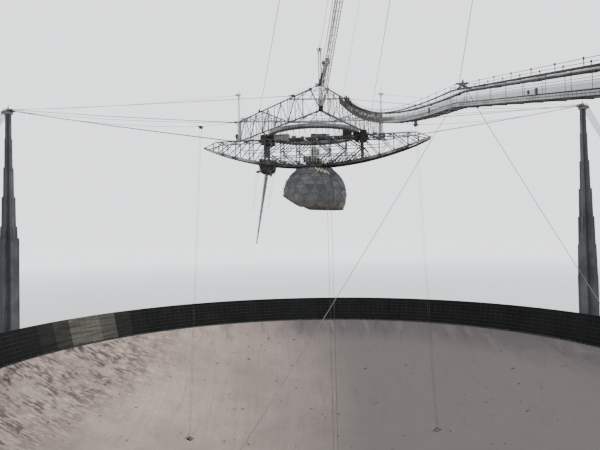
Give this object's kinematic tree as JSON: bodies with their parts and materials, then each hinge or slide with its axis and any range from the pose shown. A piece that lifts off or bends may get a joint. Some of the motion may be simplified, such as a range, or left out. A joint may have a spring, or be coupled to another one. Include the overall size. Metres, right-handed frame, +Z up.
{
  "type": "radio telescope scale model",
  "caption": "Fixed spherical radio telescope at 1:20 with stepped towers, cable-hung platform, turning bowed arm, hanging dome and line feed.",
  "frame": {"origin": "on the ground under the bowl's centre, at the centre of the footing's underside", "axes": "+Z up, +X along the longest extent, from the left tower's side to the right tower's side; the near tower stands on -Y"},
  "size_m": [30.1462, 26.1074, 9.8875],
  "materials": {
    "concrete": "weathered cast concrete with rain streaks",
    "pale_concrete": "pale cast concrete",
    "reflector_panel": "perforated sheet, dulled and stained",
    "fence_mesh": "galvanised wire mesh, dulled",
    "platform_steel": "pale grey paint, weathered",
    "dark_steel": "dark grey paint, weathered",
    "cable": "dark painted wire rope",
    "dome_panel": "matt sheet panels with rust runs",
    "cabin_paint": "light grey paint"
  },
  "bodies": {
    "fixed_structure": {"tower_left": "concrete", "tower_head_left": "pale_concrete", "backstays_left": "cable", "anchor_left": "concrete", "suspension_cables_left": "cable", "tie_down_left": "cable", "platform_corner_left": "platform_steel", "reflector_left": "reflector_panel", "rim_frame_left": "concrete", "ground_screen_left": "fence_mesh", "tower_right": "concrete", "tower_head_right": "pale_concrete", "backstays_right": "cable", "anchor_right": "concrete", "suspension_cables_right": "cable", "tie_down_right": "cable", "platform_corner_right": "platform_steel", "reflector_right": "reflector_panel", "rim_frame_right": "concrete", "ground_screen_right": "fence_mesh", "tower_near": "concrete", "tower_head_near": "pale_concrete", "backstays_near": "cable", "anchor_near": "concrete", "suspension_cables_near": "cable", "tie_down_near": "cable", "platform_corner_near": "platform_steel", "reflector_near": "reflector_panel", "rim_frame_near": "concrete", "ground_screen_near": "fence_mesh", "side_truss_near_left": "platform_steel", "side_truss_near_right": "platform_steel", "side_truss_far": "platform_steel", "azimuth_ring": "platform_steel", "centre_footing": "concrete", "catwalk_deck": "dark_steel", "catwalk_screen_left": "fence_mesh", "catwalk_screen_right": "fence_mesh", "catwalk_stays": "cable", "catwalk_abutment": "concrete"},
    "azimuth_arm": {"arm_truss_near": "platform_steel", "arm_truss_far": "platform_steel", "arm_top_deck": "platform_steel", "arm_mid_deck": "platform_steel", "azimuth_trolley_left": "dark_steel", "azimuth_trolley_right": "dark_steel", "arm_cabin": "cabin_paint", "arm_cabinet": "dark_steel", "arm_machinery": "dark_steel", "arm_centre_cab": "cabin_paint"},
    "dome": {"dome_shell": "dome_panel", "dome_carriage": "dark_steel"},
    "line_feed_carriage": {"feed_house": "cabin_paint", "feed_carriage": "dark_steel", "line_feed": "dark_steel"}
  },
  "joints": [
    {"name": "azimuth_turn", "type": "hinge", "parent": "fixed_structure", "child": "azimuth_arm", "pos_m": [0, 0, 7.75], "axis": [0, 0, 1], "range_deg": [-270, 270]},
    {"name": "dome_zenith", "type": "hinge", "parent": "azimuth_arm", "child": "dome", "pos_m": [0, 0, 13.41], "axis": [-0.213, -0.977, 0], "range_deg": [0, 19.7]},
    {"name": "line_feed_zenith", "type": "hinge", "parent": "azimuth_arm", "child": "line_feed_carriage", "pos_m": [0, 0, 13.41], "axis": [-0.213, -0.977, 0], "range_deg": [-10.3, 1.1]}
  ]
}
